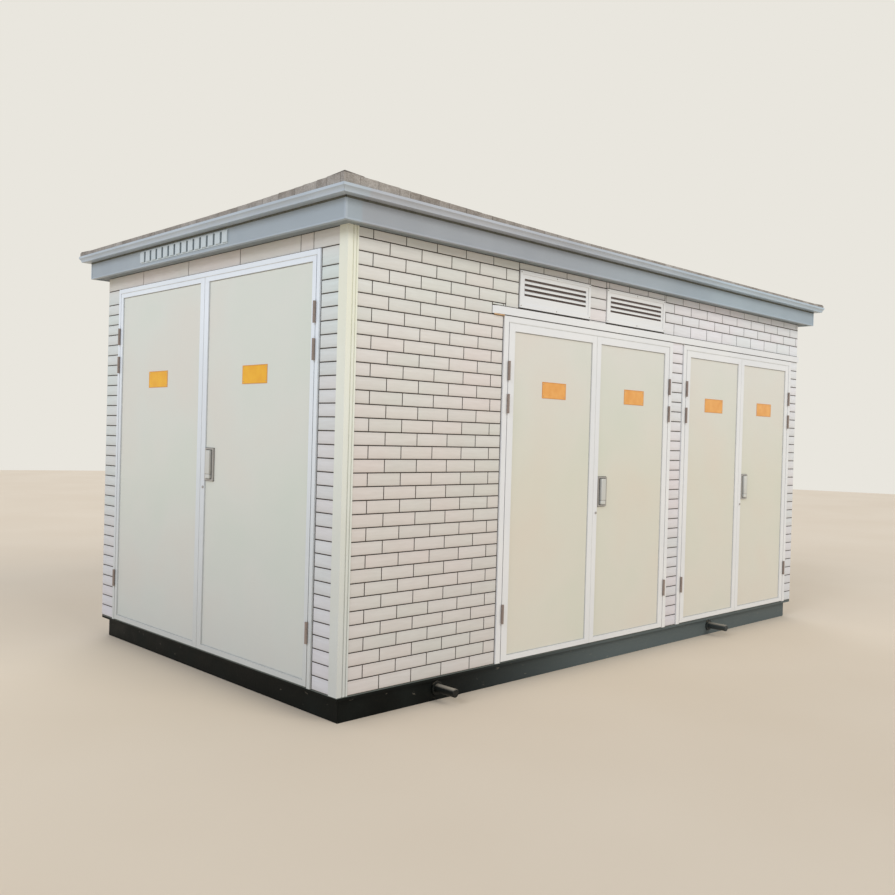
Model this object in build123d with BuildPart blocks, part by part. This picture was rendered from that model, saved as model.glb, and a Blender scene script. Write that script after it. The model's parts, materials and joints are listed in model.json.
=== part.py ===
from build123d import *
import os

# Compact substation: a brick-faced housing on a steel skid, under a shallow hip roof.
# All sizes are in millimetres. X runs along the long front, Y runs from the front to the
# back, Z is up, and the origin is the middle of the footprint at ground level.

# Walls
wall_thickness = 50.0
post_width = 55.0
post_proud = 6.0
post_groove_width = 8.0
post_groove_depth = 4.0
post_groove_offsets = (20.0, 38.0)

# Steel skid and floor
rail_height = 122.0
rail_inset = 32.0
rail_web = 8.0
rail_flange = 55.0
rail_bottom_flange = 9.0
rail_top_flange = 12.0
floor_thickness = 6.0
beam_count = 3
beam_flange = 80.0
beam_web = 8.0

# Lifting pins through the long rails
pin_radius = 21.0
pin_reach = 140.0
pin_collar_radius = 34.0
pin_collar_thickness = 10.0
pin_left_offset = 640.0
pin_right_offset = 1130.0
pin_height = 62.0
pin_chamfer = 3.0

# Long sides, from the left corner of the front: plain wall, door, pier, door, pier
transformer_start = 1020.0
transformer_width = 1580.0
pier_width = 130.0
switchgear_width = 1490.0
right_pier_width = 110.0
side_door_height = 1808.0
side_header_height = 287.0

# Left end, from the front corner: strip of wall, door, strip of wall
end_front_strip = 190.0
end_width = 2050.0
end_back_strip = 160.0
end_header_height = 85.0

# Door frames and leaves
frame_proud = 10.0
leaf_thickness = 40.0
door_gap = 5.0
panel_thickness = 20.0
panel_recess = 7.0
side_jamb = 34.0
side_hinge_stile = 45.0
side_meeting_stile = 38.0
side_top_rail = 40.0
side_bottom_rail = 28.0
end_jamb = 24.0
end_hinge_stile = 28.0
end_meeting_stile = 40.0
end_top_rail = 24.0
end_bottom_rail = 26.0

# Butt hinges: two below the top of each leaf and one above the floor
hinge_height = 100.0
barrel_radius = 7.0
hinge_pin_radius = 3.5
hinge_pin_clearance = 0.05
hinge_plate_thickness = 2.0
hinge_plate_depth = 24.0
barrel_gap = 0.5
knuckle_gap = 1.0
knuckle_share = 1 / 3
lower_hinge_height = 255.0
upper_hinge_drop = 287.0
upper_hinge_spacing = 171.0

# Flush handles on the right leaf of each pair: a lever in a tray, over a key cylinder
handle_width = 82.0
handle_height = 172.0
handle_corner = 6.0
tray_rim = 8.0
tray_height = 9.0
tray_depth = 7.0
lever_width = 34.0
lever_height = 146.0
lever_rise = 15.0
lever_taper = 8.0
lever_edge = 3.0
handle_offset = 4.0
key_radius = 7.0
key_height = 4.0
key_drop = 36.0
key_inset = 12.0
side_handle_height = 876.0
end_handle_height = 990.0

# Drip rails over the side doors
lintel_height = 40.0
lintel_projection = 14.0
lintel_overlap = 85.0
lintel_end_slant = 30.0

# Louvred vents over the transformer door: a rimmed frame round sloping blades
vent_offset = 114.0
vent_spacing = 158.0
vent_lift = 11.0
vent_width = 604.0
vent_height = 196.0
vent_side_margin = 38.0
vent_top_margin = 41.0
vent_bottom_margin = 64.0
vent_plate = 5.0
vent_rim = 19.0
vent_rim_proud = 9.0
blade_count = 3
blade_height = 16.0
blade_slope = 5.0
blade_front = 7.0

# Ceiling, fascia, drip edge and roof
ceiling_thickness = 12.0
fascia_overhang = 82.0
fascia_height = 98.0
fascia_lip = 5.0
fascia_thickness = 20.0
drip_overhang = 140.0
drip_height = 35.0
drip_depth = 80.0
drip_nose = 12.0
roof_inset = 10.0
roof_edge = 12.0
roof_near_edge = 50.0
roof_height = 197.0
cap_width = 150.0
cap_height = 14.0

# Ventilation strips set in the fascia of each end
grille_start = 870.0
grille_length = 940.0
grille_height = 70.0
grille_back = 3.0
grille_depth = 5.0
grille_margin = 6.0
strip_count = 14
strip_width = 46.0

# Clearances at joints that don't move
mitre_gap = 1.0
seat_gap = 0.3

# Planes and heights that the pieces share
transformer_end = transformer_start + transformer_width
switchgear_start = transformer_end + pier_width
switchgear_end = switchgear_start + switchgear_width
body_length = switchgear_end + right_pier_width
body_width = end_front_strip + end_width + end_back_strip
wall_height = side_door_height + side_header_height
end_door_height = wall_height - end_header_height
left_x = -body_length / 2
right_x = body_length / 2
front_y = -body_width / 2
back_y = body_width / 2
floor_z = rail_height + floor_thickness
wall_top = floor_z + wall_height
fascia_top = wall_top + fascia_height
roof_base = fascia_top + drip_height
axis_out = frame_proud + barrel_gap + barrel_radius
vent_bottom = side_door_height + lintel_height + vent_lift
vent_top = vent_bottom + vent_height
first_vent = transformer_start + vent_offset
vent_starts = (first_vent, first_vent + vent_width + vent_spacing)

# Wall faces seen from outside: x to the right, y into the wall, z up from the floor
front_face = Plane(origin=(left_x, front_y, floor_z), x_dir=(1, 0, 0), z_dir=(0, 0, 1))
left_face = Plane(origin=(left_x, back_y, floor_z), x_dir=(0, -1, 0), z_dir=(0, 0, 1))
right_face = Plane(origin=(right_x, front_y, floor_z), x_dir=(0, 1, 0), z_dir=(0, 0, 1))

os.makedirs("parts", exist_ok=True)


# Adds or cuts a box given by its spans along x, y and z
def block(x_span, y_span, z_span, mode=Mode.ADD):
    spans = (x_span, y_span, z_span)
    with Locations(tuple(sum(span) / 2 for span in spans)):
        Box(*(abs(span[1] - span[0]) for span in spans), mode=mode)


def save(part, name):
    part.label = name
    export_step(part, f"parts/{name}.step")


# A bar along x with its outer face at y = 0 and both ends cut to a mitre
def mitred_bar(section, length):
    start = Plane(origin=(-length / 2, 0, 0), x_dir=(0, 1, 0), z_dir=(1, 0, 0))
    with BuildPart() as bar:
        with BuildSketch(start):
            add(section)
        extrude(amount=length)
        for side in (-1, 1):
            tip = (side * (length - mitre_gap) / 2, 0, 0)
            split(bisect_by=Plane(origin=tip, z_dir=(side, 1, 0)), keep=Keep.BOTTOM)
    return bar.part


# Four mitred bars round a rectangle of the given outer size
def ring_of_bars(section, length, width, z):
    long_bar = mitred_bar(section, length)
    short_bar = mitred_bar(section, width)
    with BuildPart() as ring:
        with Locations(Location((0, -width / 2, z)), Location((0, width / 2, z), (0, 0, 180))):
            add(long_bar)
        with Locations(Location((length / 2, 0, z), (0, 0, 90)), Location((-length / 2, 0, z), (0, 0, -90))):
            add(short_bar)
    return ring.part


# Skid rails: channels set back from the wall, with a wide top flange under the floor
with BuildSketch() as rail_section:
    with Locations((rail_inset, 0)):
        Rectangle(rail_web, rail_height, align=(Align.MIN, Align.MIN))
        Rectangle(rail_flange, rail_bottom_flange, align=(Align.MIN, Align.MIN))
    with Locations((0, rail_height)):
        Rectangle(rail_inset + rail_flange, rail_top_flange, align=(Align.MIN, Align.MAX))
base_rails = ring_of_bars(rail_section.sketch, body_length, body_width, 0)
save(base_rails, "base_rails")

beam_length = body_width - 2 * (rail_inset + rail_flange + seat_gap)
beam_pitch = body_length / (beam_count + 1)
beam_plane = Plane(origin=(0, -beam_length / 2, 0), x_dir=(1, 0, 0), z_dir=(0, -1, 0))
with BuildPart() as base_cross_beams:
    with BuildSketch(beam_plane):
        with GridLocations(beam_pitch, 1, beam_count, 1):
            with Locations((0, rail_height / 2)):
                Rectangle(beam_web, rail_height)
            with Locations((0, 0)):
                Rectangle(beam_flange, rail_bottom_flange, align=(Align.CENTER, Align.MIN))
            with Locations((0, rail_height)):
                Rectangle(beam_flange, rail_bottom_flange, align=(Align.CENTER, Align.MAX))
    extrude(amount=-beam_length)
save(base_cross_beams.part, "base_cross_beams")

with BuildPart(Plane.XY.offset(rail_height)) as floor_plate:
    Box(body_length, body_width, floor_thickness, align=(Align.CENTER, Align.CENTER, Align.MIN))
save(floor_plate.part, "floor_plate")

# Lifting pins: a round bar and its collar on the web of each long rail
pin_stations = (left_x + pin_left_offset, right_x - pin_right_offset)
with BuildPart() as lifting_pins:
    for side in (-1, 1):
        web_y = side * (body_width / 2 - rail_inset)
        web_plane = Plane(origin=(0, web_y, pin_height), x_dir=(1, 0, 0), z_dir=(0, side, 0))
        for station in pin_stations:
            with BuildSketch(web_plane):
                with Locations((station, 0)):
                    Circle(pin_collar_radius)
            extrude(amount=pin_collar_thickness)
            with BuildSketch(web_plane):
                with Locations((station, 0)):
                    Circle(pin_radius)
            extrude(amount=pin_reach)
    pin_tips = lifting_pins.edges().filter_by(GeomType.CIRCLE).group_by(SortBy.RADIUS)[0]
    outer_edges = [edge for edge in pin_tips if abs(edge.center().Y) > body_width / 2]
    chamfer(outer_edges, length=pin_chamfer)
save(lifting_pins.part, "lifting_pins")

# Corner post: a folded cover with two upright grooves on its front face
with BuildPart(front_face) as corner_post:
    block((-post_proud, post_width), (-post_proud, post_width), (0, wall_height))
    for groove in post_groove_offsets:
        block(
            (groove, groove + post_groove_width),
            (-post_proud, -post_proud + post_groove_depth),
            (0, wall_height),
            mode=Mode.SUBTRACT,
        )
save(corner_post.part, "corner_post")

# Walls, split beside and over the doorways
wall_span = (0, wall_thickness)
full_height = (0, wall_height)
pier_height = (0, side_door_height)
header_height = (side_door_height, wall_height)
end_front_edge = end_back_strip + end_width
vent_opening_height = (vent_bottom + vent_bottom_margin, vent_top - vent_top_margin)


# Clear width of a vent's opening
def vent_opening(start):
    return start + vent_side_margin, start + vent_width - vent_side_margin


# Blocks over both side doors, with a hole behind each louvred vent
def header_over_doors(x_end):
    block((transformer_start, x_end), wall_span, header_height)
    for start in vent_starts:
        block(vent_opening(start), wall_span, vent_opening_height, mode=Mode.SUBTRACT)


def piers_beside_doors():
    block((transformer_end, switchgear_start), wall_span, pier_height)
    block((switchgear_end, body_length), wall_span, pier_height)


with BuildPart(front_face) as front_wall:
    block((post_width, transformer_start), wall_span, full_height)
save(front_wall.part, "front_wall")

with BuildPart(front_face) as front_piers:
    piers_beside_doors()
save(front_piers.part, "front_piers")

with BuildPart(front_face) as front_header:
    header_over_doors(body_length)
save(front_header.part, "front_header")

with BuildPart(front_face) as back_wall:
    block((0, transformer_start), wall_span, full_height)
    mirror(about=Plane.XZ, mode=Mode.REPLACE)
save(back_wall.part, "back_wall")

with BuildPart(front_face) as back_piers:
    piers_beside_doors()
    mirror(about=Plane.XZ, mode=Mode.REPLACE)
save(back_piers.part, "back_piers")

with BuildPart(front_face) as back_header:
    header_over_doors(body_length)
    mirror(about=Plane.XZ, mode=Mode.REPLACE)
save(back_header.part, "back_header")

with BuildPart(left_face) as end_wall_strips:
    block((wall_thickness, end_back_strip), wall_span, full_height)
    block((end_front_edge, body_width - post_width), wall_span, full_height)
save(end_wall_strips.part, "end_wall_strips")

with BuildPart(left_face) as end_header:
    block((end_back_strip, end_front_edge), wall_span, (end_door_height, wall_height))
save(end_header.part, "end_header")

with BuildPart(right_face) as right_wall:
    block((wall_thickness, body_width - wall_thickness), wall_span, full_height)
save(right_wall.part, "right_wall")

# Drip rails over the side doors, front and back, with their left ends cut on the slant
lintel_start = transformer_start - lintel_overlap
lintel_outline = (
    (lintel_start, 0),
    (lintel_start + lintel_end_slant, -lintel_projection),
    (body_length, -lintel_projection),
    (body_length, 0),
)
with BuildPart() as lintel_rails:
    with BuildSketch(front_face.offset(side_door_height)):
        Polygon(*lintel_outline, align=None)
    extrude(amount=lintel_height)
    mirror(about=Plane.XZ)
save(lintel_rails.part, "lintel_rails")


# Frame of a vent: a plate with a raised rim, cut out for the blades
def vent_frame(start):
    width, height = (start, start + vent_width), (vent_bottom, vent_top)
    inner_width = (width[0] + vent_rim, width[1] - vent_rim)
    inner_height = (height[0] + vent_rim, height[1] - vent_rim)
    block(width, (-vent_rim_proud, 0), height)
    block(inner_width, (-vent_rim_proud, -vent_plate), inner_height, mode=Mode.SUBTRACT)
    block(vent_opening(start), (-vent_plate, 0), vent_opening_height, mode=Mode.SUBTRACT)


# Blade across the opening of a vent, falling towards the outside
def vent_blade(start, bottom):
    left, right = vent_opening(start)
    front_height = blade_height - blade_slope
    origin = (left_x + left + seat_gap, front_y, floor_z)
    with BuildSketch(Plane(origin=origin, x_dir=(0, 0, 1), z_dir=(-1, 0, 0))) as section:
        Polygon(
            (bottom, -blade_front),
            (bottom + front_height, -blade_front),
            (bottom + blade_height, 0),
            (bottom + blade_slope, 0),
            align=None,
        )
    extrude(section.sketch, amount=left - right + 2 * seat_gap)


# Louvred vents with evenly spaced blades
opening_low, opening_high = vent_opening_height
blade_slot = (opening_high - opening_low - blade_count * blade_height) / (blade_count + 1)
with BuildPart(front_face) as louvre_vents:
    for start in vent_starts:
        vent_frame(start)
        for index in range(blade_count):
            vent_blade(start, opening_low + blade_slot + index * (blade_height + blade_slot))
    mirror(about=Plane.XZ)
save(louvre_vents.part, "louvre_vents")

# Door pairs, each seen from outside in its wall's own plane
side_door = {
    "face": front_face,
    "height": side_door_height,
    "jamb": side_jamb,
    "hinge_stile": side_hinge_stile,
    "meeting_stile": side_meeting_stile,
    "top_rail": side_top_rail,
    "bottom_rail": side_bottom_rail,
    "handle": side_handle_height,
}
end_door = {
    "face": left_face,
    "height": end_door_height,
    "jamb": end_jamb,
    "hinge_stile": end_hinge_stile,
    "meeting_stile": end_meeting_stile,
    "top_rail": end_top_rail,
    "bottom_rail": end_bottom_rail,
    "handle": end_handle_height,
}
doors = {
    "transformer": {**side_door, "start": transformer_start, "width": transformer_width},
    "switchgear": {**side_door, "start": switchgear_start, "width": switchgear_width},
    "end": {**end_door, "start": end_back_strip, "width": end_width},
}
hands = {"left": 1, "right": -1}


# Two jambs with the head between them
def frame_bars(door):
    depth = (-frame_proud, wall_thickness)
    start, end = door["start"], door["start"] + door["width"]
    jamb, height = door["jamb"], door["height"]
    block((start, start + jamb), depth, (0, height))
    block((end - jamb, end), depth, (0, height))
    block((start + jamb + seat_gap, end - jamb - seat_gap), depth, (height - jamb, height))


# Edge of a leaf beside its jamb, and the leaf's width
def leaf_edge(door, hand):
    if hand > 0:
        return door["start"] + door["jamb"] + door_gap
    return door["start"] + door["width"] - door["jamb"] - door_gap


def leaf_width(door):
    return (door["width"] - 2 * door["jamb"] - 3 * door_gap) / 2


def leaf_top(door):
    return door["height"] - door["jamb"] - door_gap


# Inner edges of a leaf's stiles, from the hinge side to the meeting side
def stile_edges(door, hand):
    edge = leaf_edge(door, hand)
    hinge_side = edge + hand * door["hinge_stile"]
    meeting_side = edge + hand * (leaf_width(door) - door["meeting_stile"])
    return hinge_side, meeting_side


# Stiles and rails of one leaf
def leaf_bars(door, hand):
    depth = (-frame_proud, leaf_thickness - frame_proud)
    edge = leaf_edge(door, hand)
    hinge_side, meeting_side = stile_edges(door, hand)
    height = (door_gap, leaf_top(door))
    block((edge, hinge_side), depth, height)
    block((meeting_side, edge + hand * leaf_width(door)), depth, height)
    rail_span = (hinge_side + hand * seat_gap, meeting_side - hand * seat_gap)
    block(rail_span, depth, (leaf_top(door) - door["top_rail"], leaf_top(door)))
    block(rail_span, depth, (door_gap, door_gap + door["bottom_rail"]))


def leaf_panel(door, hand):
    hinge_side, meeting_side = stile_edges(door, hand)
    depth = (panel_recess - frame_proud, panel_recess - frame_proud + panel_thickness)
    bottom = door_gap + door["bottom_rail"] + seat_gap
    top = leaf_top(door) - door["top_rail"] - seat_gap
    block((hinge_side + hand * seat_gap, meeting_side - hand * seat_gap), depth, (bottom, top))


def hinge_axis(door, hand):
    return leaf_edge(door, hand) - hand * door_gap / 2


# Heights of the hinge centres above the floor
def hinge_centres(door):
    top_hinge = door["height"] - upper_hinge_drop
    return lower_hinge_height, top_hinge - upper_hinge_spacing, top_hinge


# Knuckle: a barrel on the hinge axis, and the web that joins it to its plate
def hinge_knuckle(door, side, axis, bottom, height):
    with BuildSketch(door["face"].offset(bottom)) as section:
        with Locations((axis, -axis_out)):
            Circle(barrel_radius)
        with Locations((axis + side * (barrel_gap + hinge_plate_thickness / 2), -axis_out)):
            Rectangle(hinge_plate_thickness, axis_out - frame_proud, align=(Align.CENTER, Align.MIN))
    extrude(section.sketch, amount=height)


# Plate in the gap between the leaf and its jamb, as tall as the hinge
def hinge_plate(door, side, axis, bottom):
    near = axis + side * barrel_gap
    block(
        (near, near + side * hinge_plate_thickness),
        (-frame_proud, hinge_plate_depth - frame_proud),
        (bottom, bottom + hinge_height),
    )


# Round bar or bore on the hinge axis
def hinge_pin(door, axis, radius, bottom, height, mode=Mode.ADD):
    with BuildSketch(door["face"].offset(bottom)) as section:
        with Locations((axis, -axis_out)):
            Circle(radius)
    extrude(section.sketch, amount=height, mode=mode)


# Leaf half of each hinge: a plate and the middle knuckle, bored for the pin
def leaf_hinges(door, hand):
    axis = hinge_axis(door, hand)
    knuckle = hinge_height * knuckle_share
    for centre in hinge_centres(door):
        bottom = centre - knuckle / 2
        hinge_plate(door, hand, axis, centre - hinge_height / 2)
        hinge_knuckle(door, hand, axis, bottom, knuckle)
        bore = hinge_pin_radius + hinge_pin_clearance
        hinge_pin(door, axis, bore, bottom, knuckle, mode=Mode.SUBTRACT)


# Frame half of each hinge: a plate, two knuckles and the pin
def frame_hinge_halves(door, hand):
    axis = hinge_axis(door, hand)
    knuckle = hinge_height * (1 - knuckle_share) / 2 - knuckle_gap
    for centre in hinge_centres(door):
        bottom = centre - hinge_height / 2
        hinge_plate(door, -hand, axis, bottom)
        hinge_knuckle(door, -hand, axis, bottom, knuckle)
        hinge_knuckle(door, -hand, axis, bottom + hinge_height - knuckle, knuckle)
        hinge_pin(door, axis, hinge_pin_radius, bottom, hinge_height)


# Hinges of a leaf that stays shut, each with its plates and barrel in one
def closed_hinges(door, hand):
    axis = hinge_axis(door, hand)
    for centre in hinge_centres(door):
        bottom = centre - hinge_height / 2
        for side in (hand, -hand):
            hinge_plate(door, side, axis, bottom)
            hinge_knuckle(door, side, axis, bottom, hinge_height)


# Plane on the outside of a leaf, with its normal away from the wall
def outside_plane(door, across, depth, height):
    return Plane(door["face"].location * Location((across, depth, height), (90, 0, 0)))


def raised_plate(plane, width, height, corner, amount, mode=Mode.ADD, taper=0.0):
    with BuildSketch(plane) as section:
        RectangleRounded(width, height, corner)
    extrude(section.sketch, amount=amount, mode=mode, taper=taper)


# Flush handle beside the meeting stile: a tray with a lever in it, and a key cylinder below
def leaf_handle(door, hand):
    meeting_side = stile_edges(door, hand)[1]
    middle = meeting_side - hand * (handle_offset + handle_width / 2)
    base = outside_plane(door, middle, panel_recess - frame_proud, door["handle"])
    raised_plate(base, handle_width, handle_height, handle_corner, tray_height)
    tray_size = (handle_width - 2 * tray_rim, handle_height - 2 * tray_rim)
    raised_plate(base.offset(tray_height), *tray_size, handle_corner, -tray_depth, mode=Mode.SUBTRACT)
    tray_floor = base.offset(tray_height - tray_depth)
    raised_plate(tray_floor, lever_width, lever_height, lever_edge, lever_rise, taper=lever_taper)
    key_place = door["handle"] - handle_height / 2 - key_drop
    with BuildSketch(outside_plane(door, meeting_side + hand * key_inset, -frame_proud, key_place)) as key:
        Circle(key_radius)
    extrude(key.sketch, amount=key_height)


for name, door in doors.items():
    with BuildPart(door["face"]) as door_frame:
        frame_bars(door)
    save(door_frame.part, f"{name}_door_frame")

    for hand_name, hand in hands.items():
        with BuildPart(door["face"]) as leaf_frame:
            leaf_bars(door, hand)
        save(leaf_frame.part, f"{name}_{hand_name}_leaf_frame")

        with BuildPart(door["face"]) as panel:
            leaf_panel(door, hand)
        save(panel.part, f"{name}_{hand_name}_leaf_panel")

        with BuildPart(door["face"]) as leaf_hinge:
            leaf_hinges(door, hand)
        save(leaf_hinge.part, f"{name}_{hand_name}_leaf_hinges")

    with BuildPart() as handle:
        leaf_handle(door, hands["right"])
    save(handle.part, f"{name}_door_handle")

hinge_halves = []
for door in doors.values():
    with BuildPart(door["face"]) as door_hinges:
        for hand in hands.values():
            frame_hinge_halves(door, hand)
    hinge_halves.append(door_hinges.part)
with BuildPart() as frame_hinges:
    add(hinge_halves)
save(frame_hinges.part, "frame_hinges")

# The back repeats both side doors, kept shut
side_doors = (doors["transformer"], doors["switchgear"])

with BuildPart(front_face) as back_door_frames:
    for door in side_doors:
        frame_bars(door)
        for hand in hands.values():
            leaf_bars(door, hand)
    mirror(about=Plane.XZ, mode=Mode.REPLACE)
save(back_door_frames.part, "back_door_frames")

with BuildPart(front_face) as back_door_panels:
    for door in side_doors:
        for hand in hands.values():
            leaf_panel(door, hand)
    mirror(about=Plane.XZ, mode=Mode.REPLACE)
save(back_door_panels.part, "back_door_panels")

with BuildPart() as back_door_handles:
    for door in side_doors:
        leaf_handle(door, hands["right"])
    mirror(about=Plane.XZ, mode=Mode.REPLACE)
save(back_door_handles.part, "back_door_handles")

with BuildPart(front_face) as back_door_hinges:
    for door in side_doors:
        for hand in hands.values():
            closed_hinges(door, hand)
    mirror(about=Plane.XZ, mode=Mode.REPLACE)
save(back_door_hinges.part, "back_door_hinges")

# Ceiling between the walls and the roof, and the fascia boards round it
inner_reach = fascia_overhang - fascia_thickness - seat_gap
with BuildPart(Plane.XY.offset(wall_top)) as ceiling_panel:
    Box(
        body_length + 2 * inner_reach,
        body_width + 2 * inner_reach,
        ceiling_thickness,
        align=(Align.CENTER, Align.CENTER, Align.MIN),
    )
save(ceiling_panel.part, "ceiling_panel")

with BuildSketch() as fascia_section:
    Rectangle(fascia_thickness, fascia_height + fascia_lip, align=(Align.MIN, Align.MIN))
fascia_boards = ring_of_bars(
    fascia_section.sketch,
    body_length + 2 * fascia_overhang,
    body_width + 2 * fascia_overhang,
    wall_top - fascia_lip,
)
save(fascia_boards, "fascia_boards")

# Upright strips on a thin backing, on the fascia of each end
strip_pitch = (grille_length - strip_width) / (strip_count - 1)
grille_middle = body_width - grille_start - grille_length / 2
grille_low = wall_height + (fascia_height - grille_height) / 2
with BuildPart(left_face) as fascia_grilles:
    face = -fascia_overhang
    low, high = grille_low, grille_low + grille_height
    ends = (grille_middle - grille_length / 2, grille_middle + grille_length / 2)
    block(ends, (face - grille_back, face), (low, high))
    for index in range(strip_count):
        strip = ends[0] + index * strip_pitch
        block(
            (strip, strip + strip_width),
            (face - grille_back - grille_depth, face - grille_back),
            (low + grille_margin, high - grille_margin),
        )
    mirror(about=Plane.YZ)
save(fascia_grilles.part, "fascia_grilles")

# Drip edge: mitred bars whose nose curves back under the eaves
with BuildSketch() as drip_section:
    with BuildLine():
        nose = Line((drip_depth, drip_height), (0, drip_height))
        lip = Line(nose @ 1, (0, drip_height - drip_nose))
        curve = RadiusArc(lip @ 1, (drip_nose, 0), drip_height)
        under = Line(curve @ 1, (drip_depth, 0))
        Line(under @ 1, nose @ 0)
    make_face()
drip_edge = ring_of_bars(
    drip_section.sketch,
    body_length + 2 * drip_overhang,
    body_width + 2 * drip_overhang,
    fascia_top,
)
save(drip_edge, "drip_edge")

# Hip roof: its eaves are thickest at the near corner, and its slopes meet in a short ridge
roof_length = body_length + 2 * (drip_overhang - roof_inset)
roof_width = body_width + 2 * (drip_overhang - roof_inset)
roof_top = roof_base + roof_height
ridge_end = (roof_length - roof_width) / 2
eaves = (
    Vector(-roof_length / 2, -roof_width / 2, roof_base + roof_near_edge),
    Vector(roof_length / 2, -roof_width / 2, roof_base + roof_edge),
    Vector(roof_length / 2, roof_width / 2, roof_base + roof_edge),
    Vector(-roof_length / 2, roof_width / 2, roof_base + roof_edge),
)
ridge_points = (
    Vector(0, 0, roof_top),
    Vector(ridge_end, 0, roof_top),
    Vector(0, 0, roof_top),
    Vector(-ridge_end, 0, roof_top),
)
with BuildPart() as roof_cover:
    with BuildSketch(Plane.XY.offset(roof_base)):
        Rectangle(roof_length, roof_width)
    extrude(amount=roof_height + roof_near_edge)
    for index, foot in enumerate(eaves):
        next_foot = eaves[(index + 1) % len(eaves)]
        upward = (next_foot - foot).cross(ridge_points[index] - foot)
        split(bisect_by=Plane(origin=foot, z_dir=upward), keep=Keep.BOTTOM)
save(roof_cover.part, "roof_cover")

# Caps along the hips and the ridge, bent over them and trimmed to the roof's plan
cap_lines = roof_cover.edges().filter_by_position(Axis.Z, roof_base + roof_near_edge, roof_top)
cap_outline = (
    (-cap_width / 2, -2 * cap_height),
    (cap_width / 2, -2 * cap_height),
    (cap_width / 2, 0),
    (0, cap_height),
    (-cap_width / 2, 0),
)
with BuildPart() as roof_caps:
    for line in cap_lines:
        run = line.tangent_at(0)
        with BuildSketch(Plane(origin=line.position_at(0), x_dir=Axis.Z.direction.cross(run), z_dir=run)):
            Polygon(*cap_outline, align=None)
        extrude(amount=line.length)
    with Locations((0, 0, roof_base)):
        Box(
            roof_length,
            roof_width,
            roof_height + roof_near_edge + cap_height,
            align=(Align.CENTER, Align.CENTER, Align.MIN),
            mode=Mode.INTERSECT,
        )
    add(roof_cover.part, mode=Mode.SUBTRACT)
save(roof_caps.part, "roof_caps")
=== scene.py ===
import json
import math
import random

import bpy
from mathutils import Matrix, Vector


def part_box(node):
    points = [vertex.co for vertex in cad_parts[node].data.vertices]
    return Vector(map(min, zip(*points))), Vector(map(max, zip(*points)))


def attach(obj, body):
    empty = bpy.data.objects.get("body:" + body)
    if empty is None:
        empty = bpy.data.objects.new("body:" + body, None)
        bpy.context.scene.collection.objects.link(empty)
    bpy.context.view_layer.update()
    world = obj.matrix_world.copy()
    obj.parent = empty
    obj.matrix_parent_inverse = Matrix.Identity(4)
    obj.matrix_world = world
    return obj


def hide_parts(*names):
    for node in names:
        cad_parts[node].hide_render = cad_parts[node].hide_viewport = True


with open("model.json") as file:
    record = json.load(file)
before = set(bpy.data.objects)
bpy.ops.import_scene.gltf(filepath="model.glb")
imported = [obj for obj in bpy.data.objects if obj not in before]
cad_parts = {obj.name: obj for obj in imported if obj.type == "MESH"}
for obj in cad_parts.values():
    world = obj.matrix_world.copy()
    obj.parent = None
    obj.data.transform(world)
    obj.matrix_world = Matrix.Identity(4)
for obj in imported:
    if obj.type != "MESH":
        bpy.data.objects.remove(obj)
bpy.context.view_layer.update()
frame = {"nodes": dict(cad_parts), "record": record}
nodes = frame["nodes"]
print("frame loaded:", len(nodes), "nodes")


# Selection and modelling helpers

def deselectAll():
    bpy.ops.object.select_all(action="DESELECT")


def activate(piece):
    deselectAll()
    piece.select_set(True)
    bpy.context.view_layer.objects.active = piece


def addBlock(low, high):
    deselectAll()
    middle = [(a + b) / 2 for a, b in zip(low, high)]
    bpy.ops.mesh.primitive_cube_add(size=1, location=middle)
    block = bpy.context.object
    block.scale = [b - a for a, b in zip(low, high)]
    bpy.ops.object.transform_apply(location=True, rotation=True, scale=True)
    return block


def editWhole(piece):
    activate(piece)
    bpy.ops.object.mode_set(mode="EDIT")
    bpy.ops.mesh.select_all(action="SELECT")


def leaveEdit():
    bpy.ops.object.mode_set(mode="OBJECT")


# Cuts a piece by a plane, throws away the side that outward points to, and closes the cut
def trimPiece(piece, point, outward):
    editWhole(piece)
    bpy.ops.mesh.bisect(plane_co=point, plane_no=outward, use_fill=True, clear_outer=True)
    leaveEdit()


def bevelEdges(piece, width, segments=1):
    activate(piece)
    bevel = piece.modifiers.new("edgeRound", "BEVEL")
    bevel.width = width
    bevel.segments = segments
    bevel.limit_method = "ANGLE"
    bpy.ops.object.modifier_apply(modifier=bevel.name)


def smoothByAngle(piece, degrees):
    activate(piece)
    bpy.ops.object.shade_smooth_by_angle(angle=math.radians(degrees))


def joinPieces(pieces, name):
    deselectAll()
    for piece in pieces:
        piece.select_set(True)
    bpy.context.view_layer.objects.active = pieces[0]
    if len(pieces) > 1:
        bpy.ops.object.join()
    joined = bpy.context.view_layer.objects.active
    joined.name = joined.data.name = name
    return joined


def removePiece(piece):
    mesh = piece.data
    bpy.data.objects.remove(piece)
    bpy.data.meshes.remove(mesh)


def setAttribute(piece, name, values):
    attribute = piece.data.attributes.new(name, "FLOAT", "POINT")
    attribute.data.foreach_set("value", values)


# Copy of a master with a mesh and a tint of its own, every point moved by the function shape
def placeCopy(master, shape, tint):
    piece = master.copy()
    piece.data = master.data.copy()
    bpy.context.collection.objects.link(piece)
    for vertex in piece.data.vertices:
        vertex.co = shape(vertex.co)
    setAttribute(piece, "tint", [tint] * len(piece.data.vertices))
    return piece


# Joins a piece's parts, rounds their edges where asked, and gives it its body, slot and material
def finishPiece(parts, name, finish, edge=0, body="housing"):
    piece = joinPieces(parts, name)
    if edge:
        bevelEdges(piece, edge)
    piece.data.materials.clear()
    piece.data.materials.append(finishes[finish])
    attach(piece, body)


# Frame sizes that the pieces share

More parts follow.
